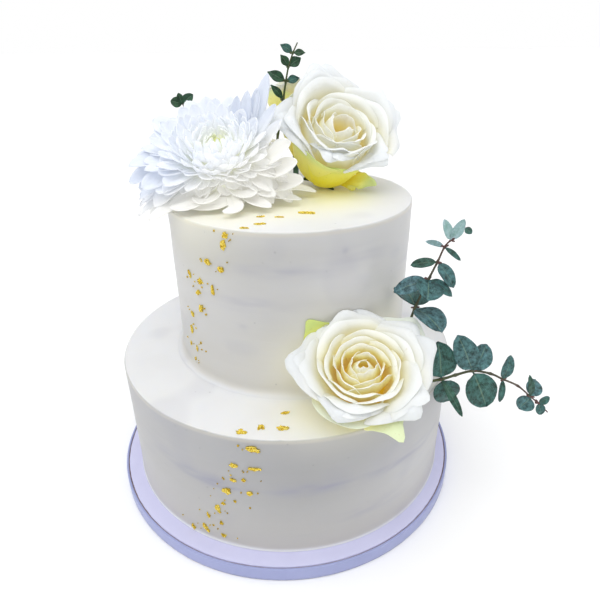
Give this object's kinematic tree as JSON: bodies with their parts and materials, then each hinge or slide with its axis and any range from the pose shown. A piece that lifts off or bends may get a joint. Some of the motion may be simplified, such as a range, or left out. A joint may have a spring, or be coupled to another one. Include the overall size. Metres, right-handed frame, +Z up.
{
  "type": "wedding cake",
  "caption": "Tiered round wedding cake in smooth pale icing on a round board, with fresh roses, a chrysanthemum, eucalyptus sprigs and a trail of gold leaf flakes.",
  "frame": {"origin": "middle of the board's underside", "axes": "+Z up, -Y towards the front, where the ledge rose and the gold leaf show"},
  "size_m": [0.2946, 0.2591, 0.2943],
  "materials": {
    "board_paper": "satin paper",
    "icing": "smooth soft sheen",
    "rose_petal": "velvety matt",
    "white_petal": "velvety matt",
    "green_petal": "velvety matt",
    "eucalyptus": "waxy",
    "gold_leaf": "crumpled bright"
  },
  "bodies": {
    "root": {"board_core": "board_paper", "board_edge_band": "board_paper", "lower_tier": "icing", "upper_tier": "icing", "ledge_rose": "rose_petal", "top_rose": "rose_petal", "back_rose": "rose_petal", "chrysanthemum": "white_petal", "sprig_ledge_upright": "eucalyptus", "sprig_ledge_side": "eucalyptus", "sprig_top_upright": "eucalyptus", "sprig_top_left": "eucalyptus"}
  },
  "joints": []
}
